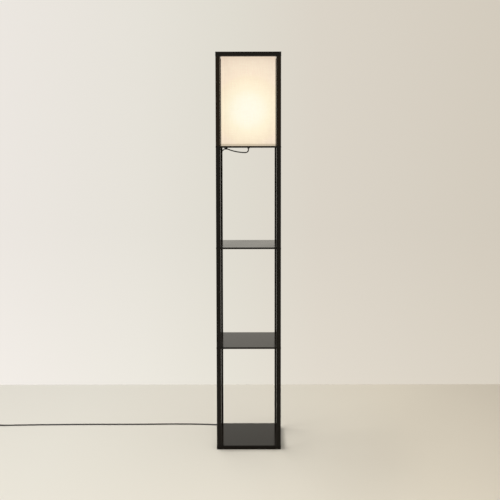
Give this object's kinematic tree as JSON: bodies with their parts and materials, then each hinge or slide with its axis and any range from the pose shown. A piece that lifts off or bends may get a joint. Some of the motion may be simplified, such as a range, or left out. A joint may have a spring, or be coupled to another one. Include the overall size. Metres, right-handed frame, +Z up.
{
  "type": "shelf floor lamp",
  "caption": "Slim square floor lamp: a black tower of open shelves with a glowing fabric lamp box on top and a mains cord with a step-on switch.",
  "frame": {"origin": "on the floor under the middle of the lamp's square foot", "axes": "+Z up, -Y towards the front, +X to the right seen from the front"},
  "size_m": [1.4692, 0.2911, 1.6],
  "materials": {
    "black_frame": "black satin lacquer on wood",
    "black_board": "black satin laminate",
    "zinc_steel": "zinc plated",
    "beech_dowel": "plain beech",
    "shade_fabric": "off-white linen weave, laminated",
    "white_wire": "white painted wire",
    "black_metal": "black satin paint",
    "black_plastic": "moulded, satin",
    "white_insulator": "moulded, matt",
    "nickel_sleeve": "pressed, bright",
    "brass_contact": "stamped, bright",
    "opal_glass": "opal, frosted",
    "bulb_cap_metal": "pressed, bright",
    "black_cord": "smooth round cord",
    "black_rubber": "moulded, soft",
    "black_button": "moulded, smooth"
  },
  "bodies": {
    "lamp": {"back_left_post_bottom": "black_frame", "back_left_post_lamp": "black_frame", "back_left_post_middle": "black_frame", "back_left_post_upper": "black_frame", "back_right_post_bottom": "black_frame", "back_right_post_lamp": "black_frame", "back_right_post_middle": "black_frame", "back_right_post_upper": "black_frame", "base_board": "black_board", "base_screws": "zinc_steel", "bulb_cap": "bulb_cap_metal", "bulb_globe": "opal_glass", "button_spring": "zinc_steel", "centre_contact": "brass_contact", "coil_tie": "black_plastic", "contact_block": "white_insulator", "cord_bushing": "black_rubber", "cord_clips": "black_plastic", "cord_coil": "black_cord", "cord_in_stem": "black_cord", "cord_on_floor": "black_cord", "cord_under_shelf": "black_cord", "cord_up_post": "black_cord", "flange_plate": "black_metal", "flange_screws": "zinc_steel", "front_left_post_bottom": "black_frame", "front_left_post_lamp": "black_frame", "front_left_post_middle": "black_frame", "front_left_post_upper": "black_frame", "front_right_post_bottom": "black_frame", "front_right_post_lamp": "black_frame", "front_right_post_middle": "black_frame", "front_right_post_upper": "black_frame", "holder_cap": "black_plastic", "holder_liner": "white_insulator", "holder_shell": "black_plastic", "lamp_shelf": "black_board", "lamp_shelf_studs": "zinc_steel", "lower_shelf": "black_board", "lower_shelf_studs": "zinc_steel", "middle_shelf": "black_board", "middle_shelf_studs": "zinc_steel", "plug_blades": "brass_contact", "plug_body": "black_rubber", "screw_sleeve": "nickel_sleeve", "shade": "shade_fabric", "shade_ring_bottom": "white_wire", "shade_ring_top": "white_wire", "stem_pipe": "black_metal", "strain_reliefs": "black_rubber", "switch_base": "black_plastic", "switch_cover": "black_plastic", "switch_screws": "zinc_steel", "top_frame_dowels": "beech_dowel", "top_rail_back": "black_frame", "top_rail_front": "black_frame", "top_rail_left": "black_frame", "top_rail_right": "black_frame"},
    "button": {"foot_button": "black_button"}
  },
  "joints": [
    {"name": "button_press", "type": "slide", "parent": "lamp", "child": "button", "axis": [0, 0, -1], "range_m": [0, 0.003], "stiffness_N_per_m": 600, "springref_m": -0.002, "deforming": ["button_spring"]}
  ]
}
